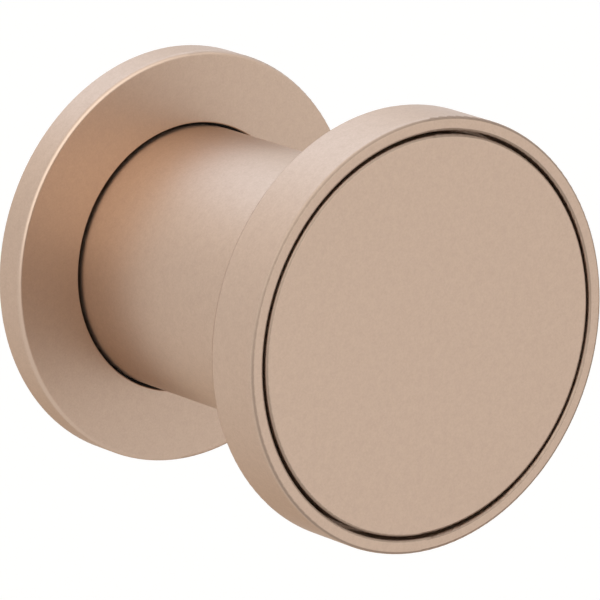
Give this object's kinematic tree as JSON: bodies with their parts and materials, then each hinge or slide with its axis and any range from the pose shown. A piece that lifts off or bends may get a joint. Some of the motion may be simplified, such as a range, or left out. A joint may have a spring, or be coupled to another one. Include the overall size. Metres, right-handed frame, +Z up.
{
  "type": "wall-mounted shower mixer",
  "caption": "Round single-control shower mixer for wall mounting: rosette, cylindrical sleeve and a turning disc knob on a ceramic-disc cartridge in a brass block.",
  "frame": {"origin": "centre of the rosette's back face, on the wall plane, on the knob's axis", "axes": "-Y out of the wall along the knob's axis, +Z up, +X to the user's right"},
  "size_m": [0.0772, 0.0925, 0.0772],
  "materials": {
    "satin_metal": "satin",
    "raw_brass": "satin",
    "steel": "satin",
    "black_rubber": "matte",
    "foam": "matte",
    "white_plastic": "satin",
    "grey_plastic": "satin",
    "red_plastic": "satin",
    "ceramic": "polished"
  },
  "bodies": {
    "root": {"rosette": "satin_metal", "sleeve": "satin_metal", "function_block": "raw_brass", "retaining_nut": "raw_brass", "fixing_screws": "steel", "inlet_filters": "steel", "base_gasket": "black_rubber", "disc_gasket": "black_rubber", "rosette_o_ring": "black_rubber", "sleeve_o_rings": "black_rubber", "rosette_gasket": "foam", "guide_bush": "white_plastic", "glide_washer": "white_plastic", "cartridge_base": "grey_plastic", "cartridge_housing": "grey_plastic", "temperature_limit_ring": "red_plastic", "fixed_ceramic_disc": "ceramic"},
    "knob": {"knob_body": "satin_metal", "face_disc": "satin_metal", "face_disc_o_ring": "black_rubber", "spline_adaptor": "white_plastic", "knob_screw": "steel", "knob_screw_washer": "steel", "spindle": "raw_brass", "spindle_o_rings": "black_rubber", "disc_carrier": "white_plastic", "moving_ceramic_disc": "ceramic"}
  },
  "joints": [
    {"name": "knob_turn", "type": "hinge", "parent": "root", "child": "knob", "pos_m": [0, 0, 0], "axis": [0, -1, 0], "range_deg": [0, 110]}
  ]
}
